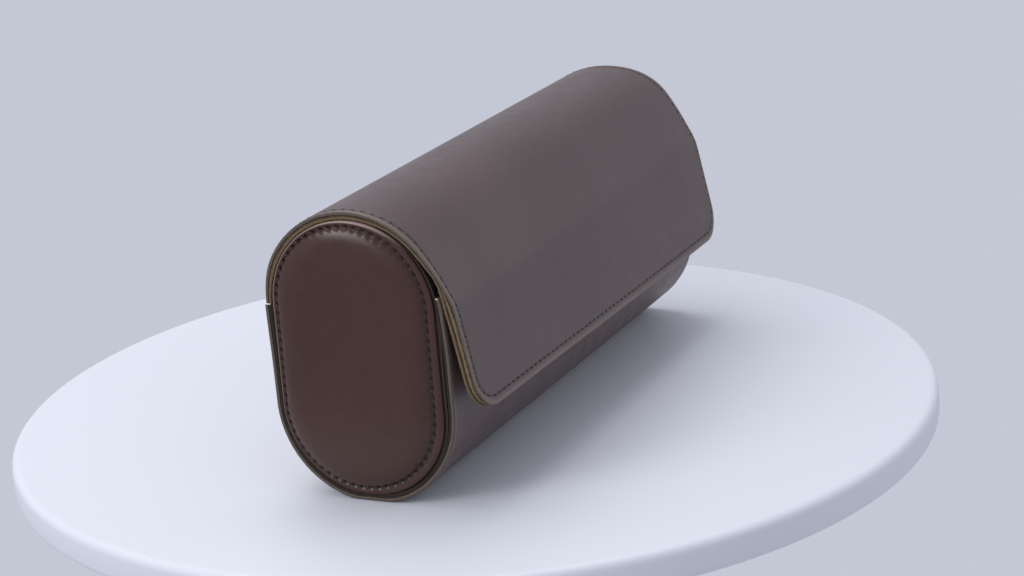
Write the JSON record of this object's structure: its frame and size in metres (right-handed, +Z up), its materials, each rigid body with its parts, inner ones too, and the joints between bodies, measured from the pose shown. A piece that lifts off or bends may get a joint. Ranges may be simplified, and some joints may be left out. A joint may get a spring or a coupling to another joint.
{
  "type": "watch travel case",
  "caption": "Oval leather travel case for wrist watches: padded drum with cushioned places in a leather sleeve, closed by a hinged flap that folds over the top and down the front.",
  "frame": {"origin": "middle of the flat strip that the case stands on", "axes": "+X along the case, +Y to the back where the flap is hinged, +Z up"},
  "size_m": [0.2098, 0.0762, 0.0972],
  "materials": {
    "outer_leather": "smooth semi-gloss dark brown pull-up leather",
    "end_leather": "smooth dark brown leather, padded and stitched round the edge",
    "olive_suede": "rough golden brown suede with a fibrous cut edge",
    "lining_suede": "soft tan microsuede",
    "board": "dense brown fibreboard",
    "foam": "cream upholstery foam",
    "cushion_suede": "soft tan microsuede over padding",
    "steel": "zinc plated steel"
  },
  "bodies": {
    "case": {"sleeve_leather": "outer_leather", "sleeve_lining": "olive_suede", "hinge_tape": "outer_leather", "tray_shell": "board", "tray_lining": "lining_suede", "end_board_left": "board", "end_board_right": "board", "end_pad_left": "foam", "end_pad_right": "foam", "end_panel_left": "end_leather", "end_panel_right": "end_leather", "end_lining_left": "lining_suede", "end_lining_right": "lining_suede", "divider_board_left": "board", "divider_board_right": "board", "divider_cover_left": "lining_suede", "divider_cover_right": "lining_suede", "front_plates": "steel"},
    "flap": {"flap_leather": "outer_leather", "flap_board": "board", "flap_lining": "olive_suede", "flap_magnets": "steel"},
    "cushion_left": {"cushion_cover_left": "cushion_suede", "cushion_core_left": "foam", "cushion_caps_left": "cushion_suede"},
    "cushion_centre": {"cushion_cover_centre": "cushion_suede", "cushion_core_centre": "foam", "cushion_caps_centre": "cushion_suede"},
    "cushion_right": {"cushion_cover_right": "cushion_suede", "cushion_core_right": "foam", "cushion_caps_right": "cushion_suede"}
  },
  "joints": [
    {"name": "flap_hinge", "type": "hinge", "parent": "case", "child": "flap", "pos_m": [0, 0.0329, 0.0647], "axis": [-1, 0, 0], "range_deg": [0, 170]},
    {"name": "cushion_left_lift", "type": "slide", "parent": "case", "child": "cushion_left", "axis": [0, 0, 1], "range_m": [0, 0.022]},
    {"name": "cushion_centre_lift", "type": "slide", "parent": "case", "child": "cushion_centre", "axis": [0, 0, 1], "range_m": [0, 0.022]},
    {"name": "cushion_right_lift", "type": "slide", "parent": "case", "child": "cushion_right", "axis": [0, 0, 1], "range_m": [0, 0.022]}
  ]
}
